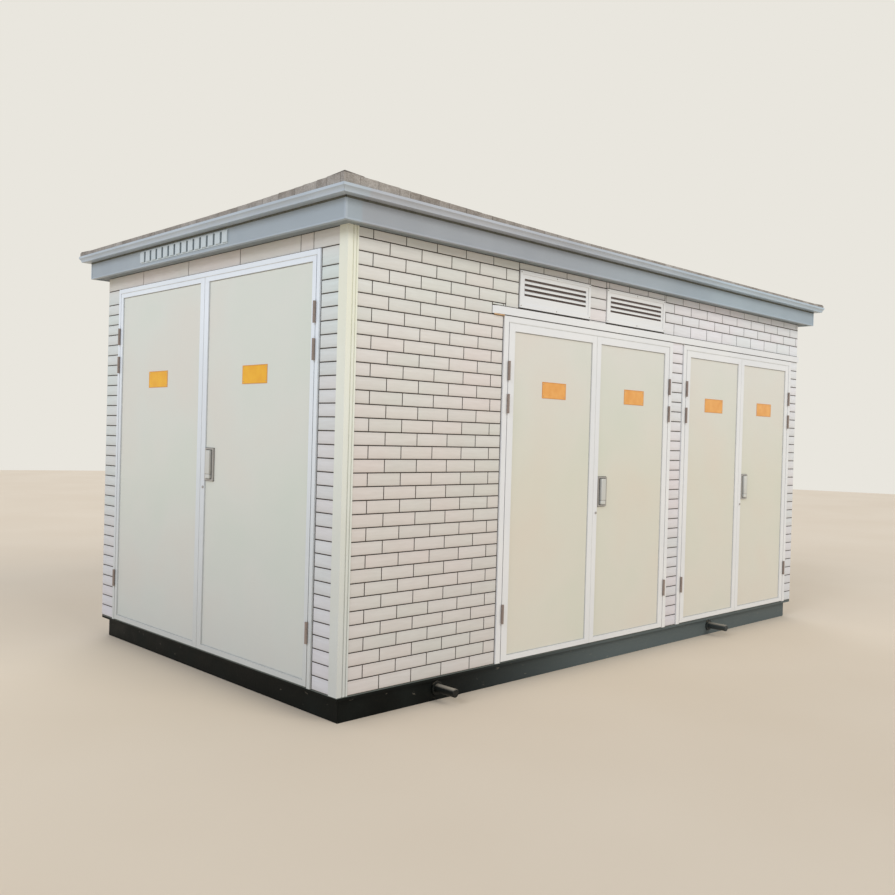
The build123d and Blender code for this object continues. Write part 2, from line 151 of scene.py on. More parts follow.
plateLow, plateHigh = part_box("floor_plate")
wallLow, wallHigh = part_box("right_wall")
leftX, rightX = plateLow.x, plateHigh.x
frontY, backY = plateLow.y, plateHigh.y
floorZ, wallTop = plateHigh.z, wallHigh.z
bodyLength, bodyWidth, wallHeight = rightX - leftX, backY - frontY, wallTop - floorZ
wallThickness = wallHigh.x - wallLow.x
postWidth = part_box("corner_post")[1].x - leftX

sink = 0.0002  # how far an added piece reaches into what carries it
tolerance = 0.001
upward = Vector((0, 0, 1))

# Each wall seen from outside: origin at its lower left corner, and the way to its right
walls = {
    "front": {"origin": Vector((leftX, frontY, floorZ)), "along": Vector((1, 0, 0))},
    "leftEnd": {"origin": Vector((leftX, backY, floorZ)), "along": Vector((0, -1, 0))},
    "back": {"origin": Vector((rightX, backY, floorZ)), "along": Vector((-1, 0, 0))},
    "rightEnd": {"origin": Vector((rightX, frontY, floorZ)), "along": Vector((0, 1, 0))},
}
for wall in walls.values():
    wall["inward"] = upward.cross(wall["along"])
doorWalls = {"transformer": "front", "switchgear": "front", "end": "leftEnd"}


def wallPoint(wall, point):
    return wall["origin"] + wall["along"] * point[0] + wall["inward"] * point[1] + Vector((0, 0, point[2]))


# Block given in a wall's own terms: across, depth into the wall, and height over the floor
def wallBlock(wallName, across, depth, height):
    corners = [wallPoint(walls[wallName], p) for p in zip(across, depth, height)]
    low = [min(a, b) for a, b in zip(*corners)]
    high = [max(a, b) for a, b in zip(*corners)]
    return addBlock(low, high)


# Insets the face that looks out of a wall, and shifts its inner part into the wall by a step
def stepFace(piece, wallName, border, step):
    inward = walls[wallName]["inward"]
    editWhole(piece)
    bpy.ops.mesh.select_mode(type="FACE")
    bpy.ops.mesh.select_all(action="DESELECT")
    leaveEdit()
    for face in piece.data.polygons:
        face.select = face.normal.dot(inward) < -0.9
    bpy.ops.object.mode_set(mode="EDIT")
    bpy.ops.mesh.inset(thickness=border, depth=0)
    bpy.ops.transform.translate(value=inward * step)
    leaveEdit()


# The area of a wall that a node covers, as left, bottom, right and top
def coveredArea(wallName, node):
    wall = walls[wallName]
    low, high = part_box(node)
    reach = [(corner - wall["origin"]).dot(wall["along"]) for corner in (low, high)]
    return min(reach), low.z - floorZ, max(reach), high.z - floorZ


# Depth of a node's outer face in its wall's terms, negative when it stands proud
def faceDepth(wallName, node):
    wall = walls[wallName]
    return min((corner - wall["origin"]).dot(wall["inward"]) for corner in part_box(node))


# The back repeats the front, seen from behind
def seenFromBehind(area):
    return bodyLength - area[2], area[1], bodyLength - area[0], area[3]


# Colour and material helpers

def hexColour(text):
    channels = [int(text[i:i + 2], 16) / 255 for i in (1, 3, 5)]
    return [c / 12.92 if c <= 0.04045 else ((c + 0.055) / 1.055) ** 2.4 for c in channels] + [1.0]


# Adds one shader node and returns the output asked for
def addNode(tree, kind, values=None, links=None, stops=(), output=0, **settings):
    node = tree.nodes.new("ShaderNode" + kind)
    for key, value in settings.items():
        setattr(node, key, value)
    for key, value in (values or {}).items():
        node.inputs[key].default_value = value
    for key, source in (links or {}).items():
        tree.links.new(source, node.inputs[key])
    for index, (place, colour) in enumerate(stops):
        elements = node.color_ramp.elements
        element = elements[index] if index < 2 else elements.new(place)
        element.position = place
        element.color = hexColour(colour)
    return node.outputs[output] if output is not None else node


def newMaterial(name, sockets):
    material = bpy.data.materials.new(name)
    material.use_nodes = True
    tree = material.node_tree
    for key, value in sockets.items():
        tree.nodes["Principled BSDF"].inputs[key].default_value = value
    return material, tree, addNode(tree, "TexCoord", output="Object")


def feedShader(tree, socket, source):
    tree.links.new(source, tree.nodes["Principled BSDF"].inputs[socket])


# Colour that drifts in clouds of a real size
def cloudedColour(tree, coords, stops, size, detail=4.0, roughness=0.5):
    pattern = {"Scale": 1 / size, "Detail": detail, "Roughness": roughness}
    cloud = addNode(tree, "TexNoise", pattern, {"Vector": coords})
    return addNode(tree, "ValToRGB", links={"Fac": cloud}, stops=stops)


# Colour that changes along the housing from its left end (X), or up its walls (Z)
def gradedColour(tree, coords, axis, stops):
    low, high = (leftX, rightX) if axis == "X" else (floorZ, wallTop)
    place = addNode(tree, "SeparateXYZ", links={0: coords}, output=axis)
    share = addNode(tree, "MapRange", {"From Min": low, "From Max": high}, {"Value": place})
    return addNode(tree, "ValToRGB", links={"Fac": share}, stops=stops)


# Colour set by a value that the piece carries at each of its points
def carriedColour(tree, attribute, stops):
    value = addNode(tree, "Attribute", attribute_name=attribute, output="Fac")
    return addNode(tree, "ValToRGB", links={"Fac": value}, stops=stops)


# Product of several layers of colour
def layeredColour(tree, layers):
    colour = layers[0]
    for layer in layers[1:]:
        links = {6: colour, 7: layer}
        colour = addNode(tree, "Mix", {0: 1.0}, links, output=2, data_type="RGBA", blend_type="MULTIPLY")
    return colour


# Gloss that wanders between two values of roughness, in patches of a real size
def unevenGloss(tree, coords, lowest, highest, size, detail=4.0, roughness=0.5):
    pattern = {"Scale": 1 / size, "Detail": detail, "Roughness": roughness}
    patch = addNode(tree, "TexNoise", pattern, {"Vector": coords})
    span = {"From Min": 0.3, "From Max": 0.7, "To Min": lowest, "To Max": highest}
    feedShader(tree, "Roughness", addNode(tree, "MapRange", span, {"Value": patch}))


# Fine relief with grains of a real size
def grainedRelief(tree, coords, depth, size, detail=4.0):
    grain = addNode(tree, "TexNoise", {"Scale": 1 / size, "Detail": detail}, {"Vector": coords})
    feedShader(tree, "Normal", addNode(tree, "Bump", {"Distance": depth}, {"Height": grain}))


# Plain surface whose tone drifts in patches of a real size
def mottledSurface(name, sockets, stops, size, detail=4.0):
    material, tree, coords = newMaterial(name, sockets)
    feedShader(tree, "Base Color", cloudedColour(tree, coords, stops, size, detail))
    return material


# Materials

brickwork = {
    "length": 0.198,
    "course": 0.062,
    "firstLine": 0.066,
    "joint": 0.0054,
    "firstEnd": 0.0426,
    "proud": 0.0026,
    "rim": 0.0016,
    "slope": 0.0020,
    "smallest": 0.011,
    "sliver": 0.0135,
    "edgeGap": 0.0030,
    "streak": 0.012,
    "grit": 0.005,
}
paint = {
    "orangePeel": 0.0016,  # sprayed paint dries in ripples under 1 mm; drawn coarser so that they show
    "patch": 0.5,
    "smear": 0.12,
    "glossSpread": 0.06,
}


# Powder coat or sprayed enamel: satin gloss, faint cloudy patches, a fine orange-peel ripple and a
# greying towards the ground that is painted shade with a little dust
def sprayedCoat(name, light, dark, roughness=0.4, dustAndGroundShade="#F3F1EF", castStops=()):
    material, tree, coords = newMaterial(name, {"IOR": 1.5})
    layers = [
        cloudedColour(tree, coords, [(0.32, dark), (0.68, light)], paint["patch"], 3.0, 0.55),
        # painted shade, with a little dust: greyer towards the ground
        gradedColour(tree, coords, "Z", [(0.0, dustAndGroundShade), (0.85, "#FFFFFF")]),
    ]
    if castStops:
        layers.append(gradedColour(tree, coords, "X", castStops))
    feedShader(tree, "Base Color", layeredColour(tree, layers))
    least, most = roughness - paint["glossSpread"], roughness + paint["glossSpread"]
    unevenGloss(tree, coords, least, most, paint["smear"], detail=5.0, roughness=0.55)
    grainedRelief(tree, coords, 0.00005, paint["orangePeel"], detail=2.0)
    return material


# Sandwich wall board: dark brown sealed face that shows as the joints between the bricks outside,
# and a smooth pale grey liner sheet inside
def sealedBoard():
    material, tree, coords = newMaterial("sealedBoard", {"Roughness": 0.85})
    grain = {"size": 0.004, "detail": 5.0}
    joint = cloudedColour(tree, coords, [(0.3, "#2F2823"), (0.7, "#463D35")], **grain)
    liner = cloudedColour(tree, coords, [(0.2, "#C9CBC8"), (0.8, "#CFD1CE")], **grain)
    split = addNode(tree, "SeparateXYZ", links={0: coords}, output=None).outputs
    reach = []
    for axis, edge in (("X", rightX), ("Y", backY)):
        side = addNode(tree, "Math", links={0: split[axis]}, operation="ABSOLUTE")
        deep = {1: edge - wallThickness / 2}
        reach.append(addNode(tree, "Math", deep, {0: side}, operation="LESS_THAN"))
    inside = addNode(tree, "Math", links={0: reach[0], 1: reach[1]}, operation="MULTIPLY")
    face = addNode(tree, "Mix", links={0: inside, 6: joint, 7: liner}, output=2, data_type="RGBA")
    feedShader(tree, "Base Color", face)
    grainedRelief(tree, coords, 0.0003, **grain)
    return material


# Pressed and baked brick facing: faint pink and green casts by the batch and the brick, with soft
# streaks along it from the roller; painted shade darkens each brick's lower edge and the lower courses, and
# painted light brightens the top courses and the right of the long sides
def rolledBrick(name, heightShadeStops, sidewaysLightStops):
    material, tree, coords = newMaterial(name, {"IOR": 1.48})
    castStops = [(0.0, "#FFFCFB"), (0.3, "#FFFEFD"), (0.55, "#FFFFFF"), (0.8, "#FCFDFB"), (1.0, "#FAFBFA")]
    batchStops = [(0.35, "#FBFDFA"), (0.65, "#FFFBFA")]
    shadeStops = [(0.0, "#F0EEEC"), (0.3, "#FBFAF8"), (0.75, "#FFFFFF"), (1.0, "#F5F3F1")]
    streakStops = [(0.3, "#F8F7F6"), (0.7, "#FFFFFF")]
    stretched = addNode(tree, "Mapping", {"Scale": (0.12, 0.12, 1.0)}, {"Vector": coords})
    feedShader(tree, "Base Color", layeredColour(tree, [
        # painted shade and light: darker low on the wall, lighter towards the top
        gradedColour(tree, coords, "Z", heightShadeStops),
        carriedColour(tree, "tint", castStops),
        cloudedColour(tree, coords, batchStops, size=0.5, detail=2.0),
        # painted shade: each brick darker at its lower edge and a little at its upper edge, as light falls on
        # a raised face
        carriedColour(tree, "rise", shadeStops),
        cloudedColour(tree, stretched, streakStops, brickwork["streak"]),
        # painted light: the long sides warmer and darker towards the left end, paler and cooler towards the
        # right
        gradedColour(tree, coords, "X", sidewaysLightStops),
    ]))
    unevenGloss(tree, coords, 0.42, 0.58, size=0.08)
    grainedRelief(tree, coords, 0.0002, brickwork["grit"])
    return material


# Colour-coated steel sheet on the doors: satin cream, with a faint cloudy green and pink cast, and
# greyer towards the ground in painted shade
def coatedSheet(name, groundShadeStops):
    material, tree, coords = newMaterial(name, {"IOR": 1.5, "Roughness": 0.34})
    castStops = [(0.3, "#F8FDF9"), (0.5, "#FDFEFC"), (0.72, "#FFFBF8")]
    cast = cloudedColour(tree, coords, castStops, size=0.6, detail=2.0)
    # painted shade: the sheet greys towards the ground
    feedShader(tree, "Base Color", layeredColour(tree, [cast, gradedColour(tree, coords, "Z", groundShadeStops)]))
    grainedRelief(tree, coords, 0.00003, paint["orangePeel"], detail=2.0)
    return material


# Thick green-black enamel brushed over rolled steel: uneven gloss, a pale painted reflection of the floor
# that grows towards the right end, and a few pale scuffs where chains and forks have dragged along it
def skidEnamel(name, wornAndLitTop, sheen, reflectionMost):
    material, tree, coords = newMaterial(name, {"IOR": 1.5, "Specular IOR Level": sheen})
    coatStops = [(0.3, "#060908"), (0.55, "#0C0F0D"), (0.8, "#161A18")]
    coat = cloudedColour(tree, coords, coatStops, size=0.2, detail=5.0)
    along = addNode(tree, "SeparateXYZ", links={0: coords}, output="X")
    # painted reflection: a pale grey sheen mixed in towards the right end
    run = {"From Min": -1.6, "From Max": 0.1, "To Max": reflectionMost}
    paintedReflection = addNode(tree, "MapRange", run, {"Value": along}, interpolation_type="SMOOTHSTEP")
    reflectedCoat = addNode(tree, "Mix", {7: hexColour("#666F6F")}, {0: paintedReflection, 6: coat}, data_type="RGBA", output=2)
    stretched = addNode(tree, "Mapping", {"Scale": (0.35, 0.35, 1.0)}, {"Vector": coords})
    scratch = addNode(tree, "TexNoise", {"Scale": 1 / 0.02, "Detail": 8.0}, {"Vector": stretched})
    scuffed = {"From Min": 0.69, "From Max": 0.76, "To Max": 0.45}
    mask = addNode(tree, "MapRange", scuffed, {"Value": scratch})
    # On the pins, faces that look upwards turn pale: worn paint, and a painted highlight on the tops
    if wornAndLitTop:
        normal = addNode(tree, "NewGeometry", output="Normal")
        rise = addNode(tree, "SeparateXYZ", links={0: normal}, output="Z")
        topWearAndLight = {"From Min": 0.5, "From Max": 0.9, "To Max": 0.9}
        top = addNode(tree, "MapRange", topWearAndLight, {"Value": rise})
        mask = addNode(tree, "Math", links={0: mask, 1: top}, operation="MAXIMUM")
    wornAndLit = addNode(tree, "Mix", {7: hexColour("#928A7C")}, {0: mask, 6: reflectedCoat}, output=2, data_type="RGBA")
    feedShader(tree, "Base Color", wornAndLit)
    unevenGloss(tree, coords, 0.36, 0.6, size=0.2, detail=5.0)
    grainedRelief(tree, coords, 0.0006, size=0.012)
    return material


# Asphalt shingle: coarse grey-brown mineral chips bedded in bitumen, quite matt, each piece its own tone
def mineralShingle(name, tones):
    material, tree, coords = newMaterial(name, {"Roughness": 0.93, "Specular IOR Level": 0.3})
    chipSize = 0.004  # chips are 1 to 2 mm across; drawn coarser so that they show
    chips = addNode(tree, "TexVoronoi", {"Scale": 1 / chipSize}, {"Vector": coords}, output="Color")
    shade = addNode(tree, "SeparateColor", links={0: chips})
    feedShader(tree, "Base Color", layeredColour(tree, [
        cloudedColour(tree, coords, list(zip((0.3, 0.5, 0.72), tones)), size=0.07, detail=6.0),
        addNode(tree, "ValToRGB", links={"Fac": shade}, stops=[(0.1, "#DCD8D4"), (0.9, "#FBFAF9")]),
        carriedColour(tree, "tint", [(0.0, "#FFFFFF"), (1.0, "#DDD9D6")]),
    ]))
    feedShader(tree, "Normal", addNode(tree, "Bump", {"Distance": 0.0006}, {"Height": shade}))
    return material


# Pressed aluminium sign blank in amber enamel, with a darker raised lip; the ones on the long side are
# bleached towards orange
def signEnamel():
    material, tree, coords = newMaterial("signEnamel", {"IOR": 1.5, "Roughness": 0.35})
    fresh = cloudedColour(tree, coords, [(0.3, "#ECA812"), (0.7, "#F2B51C")], size=0.05)
    faded = cloudedColour(tree, coords, [(0.3, "#E29B48"), (0.7, "#EBAC5C")], size=0.05)
    fade, lip = (addNode(tree, "Attribute", attribute_name=key, output="Fac") for key in ("fade", "lip"))
    field = addNode(tree, "Mix", links={0: fade, 6: fresh, 7: faded}, data_type="RGBA", output=2)
    edge = addNode(tree, "Mix", {7: hexColour("#CF7F1E")}, {0: lip, 6: field}, output=2, data_type="RGBA")
    feedShader(tree, "Base Color", edge)
    grainedRelief(tree, coords, 0.00005, size=0.002, detail=2.0)
    return material


# EPDM rubber and silicone in the joints: soft, matt, a little dusty
def rubberSeal(name, light, dark):
    return mottledSurface(name, {"Roughness": 0.75, "IOR": 1.45}, [(0.3, dark), (0.7, light)], size=0.04)


# Woven insect screen behind the louvres: dusty brown aluminium wire, with the mesh drawn at 4 mm
# because the real 1.5 mm would not show; its dark brown is also painted shade for the louvre slots
def shadedInsectScreen():
    material, tree, coords = newMaterial("shadedInsectScreen", {"Roughness": 0.7, "Metallic": 0.2})
    split = addNode(tree, "SeparateXYZ", links={0: coords}, output=None).outputs
    mesh, wireShare = 0.004, 0.35
    wires = []
    for axis in ("X", "Z"):
        cells = addNode(tree, "Math", {1: 1 / mesh}, {0: split[axis]}, operation="MULTIPLY")
        share = addNode(tree, "Math", links={0: cells}, operation="FRACT")
        wires.append(addNode(tree, "Math", {1: wireShare}, {0: share}, operation="LESS_THAN"))
    wire = addNode(tree, "Math", links={0: wires[0], 1: wires[1]}, operation="MAXIMUM")
    tone = addNode(tree, "ValToRGB", links={"Fac": wire}, stops=[(0.0, "#3A302C"), (1.0, "#7E6F68")])
    feedShader(tree, "Base Color", tone)
    return material


frontSheetShadeStops = [(0.0, "#D3CDC1"), (0.45, "#D6D2C4"), (0.9, "#DDDBD5")]
shadedEndSheetStops = [(0.0, "#C1C2BE"), (0.45, "#D6D6CE"), (0.9, "#DEDFD8")]
frontBrickHeightShade = [(0.0, "#D5D5DB"), (0.45, "#E0DFE3"), (0.9, "#EDEFF6")]
endBrickHeightShade = [(0.0, "#CECED4"), (0.45, "#D8DBDD"), (0.93, "#DFE6E7"), (0.97, "#E4E1DE")]
cooling = [(0.0, "#FFFDFA"), (0.001, "#FFF5F0"), (0.3, "#FFF6F2"), (0.7, "#FBFFFF")]
materials = {
    "skid_paint": skidEnamel("skidEnamel", False, 0.1, 0.72),
    # the last colour is the post's painted shade towards the ground
    "corner_post": sprayedCoat("creamPost", "#EEEFE1", "#E8E8D7", 0.38, "#CFD0D9"),
    "brick_panel": sealedBoard(),
    "white_aluminium": sprayedCoat("whitePowderCoat", "#E9E9E8", "#E2E3E4", 0.34),
    "door_panel": coatedSheet("creamSheet", frontSheetShadeStops),
    "hinge_metal": sprayedCoat("bronzeHinge", "#94857B", "#7F7068", 0.45),
    "handle_metal": sprayedCoat("castZincHandle", "#B5B1AB", "#9F9A93", 0.34),
    "ceiling_sheet": sprayedCoat("soffitSheet", "#8E979C", "#7F888D", 0.6),
    "fascia_paint": sprayedCoat("fasciaBlueGrey", "#A4B0BA", "#9AA6B1", castStops=cooling),
    "drip_paint": sprayedCoat("dripBlueGrey", "#BAC6D2", "#AEBAC6", 0.36, castStops=cooling),
    "grille_paint": sprayedCoat("grillePale", "#C8D1D5", "#BECACE"),
    "roof_slate": mineralShingle("mineralShingle", ("#958F8A", "#A8A29D", "#B8B2AC")),
}
# The shaded left end gets copies of the coats in painted shade: cooler, and darker towards the ground
shadedEndMaterials = {
    "white_aluminium": sprayedCoat("shadedEndPowderCoat", "#EDF3F9", "#E7EDF4", 0.34, "#CDC9C0"),
    "door_panel": coatedSheet("shadedEndSheet", shadedEndSheetStops),
}
# Bright zinc plating on screws and rivets: soft metallic gloss with dull and slightly rusty patches
zincStops = [(0.35, "#8C8378"), (0.5, "#A9A7A2"), (0.7, "#B9B8B4")]
finishes = {
    "slate": materials["roof_slate"],
    # the last stops are painted light along the long sides
    "sideBrick": rolledBrick("sideBrick", frontBrickHeightShade, [(0.28, "#F6F2E9"), (0.64, "#FFFFFF")]),
    "shadedEndBrick": rolledBrick("shadedEndBrick", endBrickHeightShade, [(0.0, "#FFFFFF"), (1.0, "#FFFFFF")]),
    "pin": skidEnamel("pinWornAndLitTop", True, 0.3, 0.2),
    "floor": sprayedCoat("floorPaint", "#565E5B", "#4A524F", 0.58),
    "sign": signEnamel(),
    "zinc": mottledSurface("platedZinc", {"Metallic": 0.85, "Roughness": 0.38}, zincStops, size=0.006),
    "screen": shadedInsectScreen(),
    "grip": sprayedCoat("handleGrip", "#D3D3CC", "#C6C6C0", 0.32),
    "trim": sprayedCoat("fasciaTrimPaint", "#AEBAC5", "#A4B0BC", 0.38, castStops=cooling),
    # dark rubber, also used as painted shade in the handle trays and under the lintels
    "darkRubberAndShade": rubberSeal("epdmSeal", "#4B4A48", "#343332"),
    "greySilicone": rubberSeal("greySilicone", "#B3B3AE", "#9D9D98"),
    "paleGasket": rubberSeal("paleGasket", "#DEDEDA", "#CFCFCB"),
    # painted shadow for the slots of the fascia grilles
    "slotShadow": rubberSeal("slotShade", "#5B676D", "#4A555B"),
    "foam": rubberSeal("sealingFoam", "#D9B78F", "#C6A077"),
    # dark strip that is also painted shadow under the drip edge
    "butyl": rubberSeal("butylShadowStrip", "#6C6C63", "#595950"),
    "cap": mineralShingle("capShingle", ("#88827D", "#98928D", "#A8A29C")),
    "eave": mineralShingle("eaveChippings", ("#A49F99", "#B5B0AA", "#C4BFB9")),
}

slotOfNode = {entry["node"]: entry["material_slot"] for entry in frame["record"]["subparts"]}
ownFinish = {"lifting_pins": finishes["pin"], "floor_plate": finishes["floor"]}
for name, node in nodes.items():
    finish = materials[slotOfNode[name]]
    # end nodes take the copies in painted shade
    if name.startswith("end_"):
        finish = shadedEndMaterials.get(slotOfNode[name], finish)
    node.data.materials.clear()
    node.data.materials.append(ownFinish.get(name, finish))
print("materials made:", len(bpy.data.materials))


# Bricks: shallow embossed plates laid in running bond over the dark sealed boards

endHeader = {"bottom": 2.012, "joints": (0.458, 0.991, 1.517, 2.044, 2.146), "lastCourse": 1.926}


def makeBrickMaster():
    halfLength = (brickwork["length"] - brickwork["joint"]) / 2
    halfHeight = (brickwork["course"] - brickwork["joint"]) / 2
    brick = addBlock((-halfLength, -brickwork["rim"], -halfHeight), (halfLength, 0, halfHeight))
    stepFace(brick, "front", brickwork["slope"], brickwork["rim"] - brickwork["proud"])
    return brick, halfLength, halfHeight


def widened(area, margin):
    return area[0] - margin, area[1] - margin, area[2] + margin, area[3] + margin


# Takes a covered area out of a rectangle and returns what is left of it
def cutArea(area, hole):
    left, bottom, right, top = area
    holeLeft, holeBottom, holeRight, holeTop = hole
    if holeLeft >= right or holeRight <= left or holeBottom >= top or holeTop <= bottom:
        return [area]
    pieces = [
        (left, bottom, min(right, holeLeft), top),
        (max(left, holeRight), bottom, right, top),
        (max(left, holeLeft), bottom, min(right, holeRight), holeBottom),
        (max(left, holeLeft), holeTop, min(right, holeRight), top),
    ]
    least = brickwork["smallest"]
    return [p for p in pieces if p[2] - p[0] > least and p[3] - p[1] > least]


def courseLines():
    lines = [0.0]
    while lines[-1] < wallHeight:
        lines.append(brickwork["firstLine"] + brickwork["course"] * (len(lines) - 1))
    lines[-1] = wallHeight
    return lines


# Widens a brick to the edge of a fitting or field where the cut piece beside it is too narrow to lay
def closeSliver(area, field, holes):
    left, bottom, right, top = area
    least = brickwork["sliver"]
    beside = [hole for hole in holes if hole[1] < bottom + tolerance and hole[3] > top - tolerance]
    rightEdges = [hole[0] for hole in beside] + [field[2]]
    leftEdges = [hole[2] for hole in beside] + [field[0]]
    right = max([right] + [edge for edge in rightEdges if right < edge <= right + least])
    left = min([left] + [edge for edge in leftEdges if left - least <= edge < left])
    level = [hole for hole in holes if hole[0] < left + tolerance and hole[2] > right - tolerance]
    topEdges = [hole[1] for hole in level] + [field[3]]
    bottomEdges = [hole[3] for hole in level] + [field[1]]
    top = max([top] + [edge for edge in topEdges if top < edge <= top + least])
    bottom = min([bottom] + [edge for edge in bottomEdges if bottom - least <= edge < bottom])
    return left, bottom, right, top


# Bricks of one field, cut round the covered areas; a field that isn't bonded has one brick a course
def brickAreas(lines, field, covered, bonded=True):
    start, low, end, high = field
    length = brickwork["length"]
    areas = []
    for course, (bottom, top) in enumerate(zip(lines, lines[1:])):
        bottom, top = max(bottom, low), min(top, high)
        if top - bottom < brickwork["smallest"]:
            continue
        left = brickwork["firstEnd"] + (length / 2 if course % 2 else 0) - length
        while bonded and left < end:
            areas.append((max(left, start), bottom, min(left + length, end), top))
            left += length
        if not bonded:
            areas.append((start, bottom, end, top))
    areas = [a for a in areas if a[2] - a[0] > brickwork["smallest"]]
    holes = [widened(hole, brickwork["edgeGap"]) for hole in covered]
    for hole in holes:
        areas = [left for area in areas for left in cutArea(area, hole)]
    areas = [closeSliver(area, field, holes) for area in areas]
    slivers = [a for a in areas if min(a[2] - a[0], a[3] - a[1]) < brickwork["sliver"]]
    bricks = [a for a in areas if a not in slivers]
    for brick in bricks:
        slivers = [left for sliver in slivers for left in cutArea(sliver, brick)]
    return bricks + slivers


def layBricks(wallName, pieceName, areas, seed, finish):
    chance = random.Random(seed)
    gap = brickwork["joint"] / 2
    master, halfLength, halfHeight = makeBrickMaster()
    laid = []
    for left, bottom, right, top in areas:
        def shape(point):
            across = point.x + (right - gap - halfLength if point.x > 0 else left + gap + halfLength)
            up = point.z + (top - gap - halfHeight if point.z > 0 else bottom + gap + halfHeight)
            return wallPoint(walls[wallName], (across, point.y, up))
        brick = placeCopy(master, shape, chance.random())
        heights = [vertex.co.z - floorZ - bottom for vertex in brick.data.vertices]
        setAttribute(brick, "rise", [height / (top - bottom) for height in heights])
        laid.append(brick)
    removePiece(master)
    finishPiece(laid, pieceName, finish)
    print(pieceName, "laid:", len(laid), "bricks")


# Front and back: one bonded field, with a single stack of bricks on each pier and between the vents;
# the back has no corner post
lines = courseLines()
transformerArea = coveredArea("front", "transformer_door_frame")
switchgearArea = coveredArea("front", "switchgear_door_frame")
lintelArea = coveredArea("front", "lintel_rails")
ventLeft, ventLow, ventRight, ventHigh = coveredArea("front", "louvre_vents")
ventWidth = 0.604
ventAreas = [
    (ventLeft, ventLow, ventLeft + ventWidth, ventHigh),
    (ventRight - ventWidth, ventLow, ventRight, ventHigh),
]
stacks = [
    (transformerArea[2], 0, switchgearArea[0], lintelArea[1]),
    (switchgearArea[2], 0, bodyLength, lintelArea[1]),
    (ventAreas[0][2], lintelArea[3], ventAreas[1][0], ventHigh),
]
fittings = [transformerArea, switchgearArea, lintelArea] + ventAreas
for wallName, start, seed in (("front", postWidth, 11), ("back", 0, 13)):
    if wallName == "back":
        fittings, stacks = ([seenFromBehind(area) for area in group] for group in (fittings, stacks))
    # Each stack is a hole in the bonded field, less the margin that every hole is given
    stackHoles = [widened(stack, -brickwork["edgeGap"]) for stack in stacks]
    areas = brickAreas(lines, (start, 0, bodyLength, wallHeight), fittings + stackHoles)
    for stack in stacks:
        areas += brickAreas(lines, stack, fittings, bonded=False)
    layBricks(wallName, wallName + "Bricks", areas, seed, "sideBrick")

# Left end: one brick a course on each side of the door, under a band of longer plates
endLines = [line for line in lines if line <= endHeader["lastCourse"] + tolerance]
endLines.append(endHeader["bottom"])
endField = (-brickwork["proud"], 0, bodyWidth - postWidth, endHeader["bottom"])
endAreas = brickAreas(endLines, endField, [coveredArea("leftEnd", "end_door_frame")], bonded=False)
headerEnds = (endField[0],) + endHeader["joints"] + (endField[2],)
for left, right in zip(headerEnds, headerEnds[1:]):
    endAreas.append((left, endHeader["bottom"], right, wallHeight))
layBricks("leftEnd", "endBricks", endAreas, 12, "shadedEndBrick")

plainField = (-brickwork["proud"], 0, bodyWidth + brickwork["proud"], wallHeight)
layBricks("rightEnd", "rightBricks", brickAreas(lines, plainField, []), 14, "shadedEndBrick")


# Sign blanks: a thin bare plate with a raised lip and a rivet at each corner, two to each door pair

signs = {
    "thickness": 0.0016,
    "lip": 0.006,
    "lipProud": 0.0006,
    "edge": 0.0003,
    "rivet": 0.0028,
    "rivetRise": 0.0012,
    "rivetInset": 0.012,
    "places": {
        "transformer_left_leaf": ("front", (1.340, 1.542), (1.392, 1.480)),
        "transformer_right_leaf": ("front", (2.095, 2.298), (1.392, 1.480)),
        "switchgear_left_leaf": ("front", (3.013, 3.241), (1.380, 1.470)),
        "switchgear_right_leaf": ("front", (3.720, 3.931), (1.380, 1.470)),
        "end_left_leaf": ("leftEnd", (0.562, 0.784), (1.407, 1.500)),
        "end_right_leaf": ("leftEnd", (1.568, 1.792), (1.407, 1.500)),
    },
}


# Small domed head on a wall face, as a squashed sphere cut in half at the face
def addDome(wallName, across, depth, height, radius, rise):
    deselectAll()
    centre = wallPoint(walls[wallName], (across, depth, height))
    bpy.ops.mesh.primitive_uv_sphere_add(segments=12, ring_count=6, radius=radius, location=centre)
    dome = bpy.context.object
    inward = walls[wallName]["inward"]
    dome.scale = [rise / radius if abs(part) > 0.5 else 1.0 for part in inward]
    bpy.ops.object.transform_apply(location=True, rotation=True, scale=True)
    trimPiece(dome, centre + inward * sink, inward)
    smoothByAngle(dome, 60)
    return dome


for leaf, (wallName, across, height) in signs["places"].items():
    depth = faceDepth(wallName, leaf + "_panel")
    lip = depth - signs["thickness"]
    sign = wallBlock(wallName, across, (lip, depth + sink), height)
    stepFace(sign, wallName, signs["lip"], signs["lipProud"])
    inner = {index for face in sign.data.polygons if face.select for index in face.vertices}
    setAttribute(sign, "lip", [0.0 if v.index in inner else 1.0 for v in sign.data.vertices])
    setAttribute(sign, "fade", [0.0 if wallName == "leftEnd" else 1.0] * len(sign.data.vertices))
    finishPiece([sign], leaf + "_signPlate", "sign", signs["edge"], leaf)
    inset, field = signs["rivetInset"], lip + signs["lipProud"]
    rivets = [
        addDome(wallName, x, field, z, signs["rivet"], signs["rivetRise"])
        for x in (across[0] + inset, across[1] - inset) for z in (height[0] + inset, height[1] - inset)
    ]
    finishPiece(rivets, leaf + "_signRivets", "zinc", body=leaf)
print("sign blanks made:", len(signs["places"]))


# Silicone bead round each door panel, where it sits in its frame

beads = {"width": 0.005, "proud": 0.0016, "sink": 0.0006}


def makeBead(name, body, wallName, node, areas):
    depth = faceDepth(wallName, node)
    reach = (depth - beads["proud"], depth + 2 * beads["sink"])
    rings = []
    for left, bottom, right, top in areas:
        ring = wallBlock(wallName, (left, right), reach, (bottom, top))
        stepFace(ring, wallName, beads["width"], beads["proud"] + beads["sink"])
        rings.append(ring)
    finishPiece(rings, name, "greySilicone", body=body)


